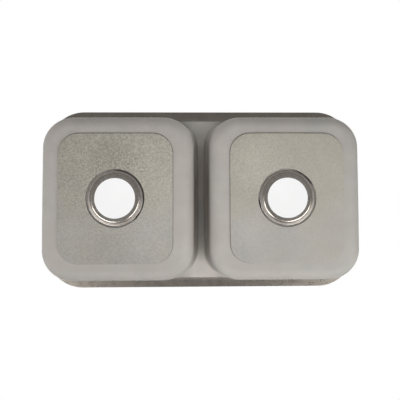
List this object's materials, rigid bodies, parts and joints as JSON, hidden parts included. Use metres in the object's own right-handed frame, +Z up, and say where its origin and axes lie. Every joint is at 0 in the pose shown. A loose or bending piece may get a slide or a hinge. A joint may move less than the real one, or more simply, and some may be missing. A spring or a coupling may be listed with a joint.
{
  "type": "double bowl kitchen sink",
  "caption": "Undermount double bowl kitchen sink in stainless steel, with equal rounded bowls, stepped drain recesses, undercoat and sound pads below.",
  "frame": {"origin": "middle of the divider's top, on the flat face of the rim", "axes": "+Z up out of the bowls, X along the sink from the left bowl to the right bowl, Y from front to back"},
  "size_m": [0.8192, 0.47, 0.2286],
  "materials": {
    "rim_steel": "bare mill underside, satin brushed face",
    "bowl_steel": "satin brushed inside, bare pressed recess",
    "weld_steel": "butt weld ground flush",
    "undercoat": "sprayed light warm grey undercoat, matt",
    "butyl": "black butyl adhesive",
    "sound_pad": "greenish grey granular sound pad"
  },
  "bodies": {
    "root": {"rim_flange": "rim_steel", "left_bowl": "bowl_steel", "right_bowl": "bowl_steel", "left_bowl_weld": "weld_steel", "right_bowl_weld": "weld_steel", "undercoat": "undercoat", "left_pad_adhesive": "butyl", "right_pad_adhesive": "butyl", "left_sound_pad": "sound_pad", "right_sound_pad": "sound_pad"}
  },
  "joints": []
}
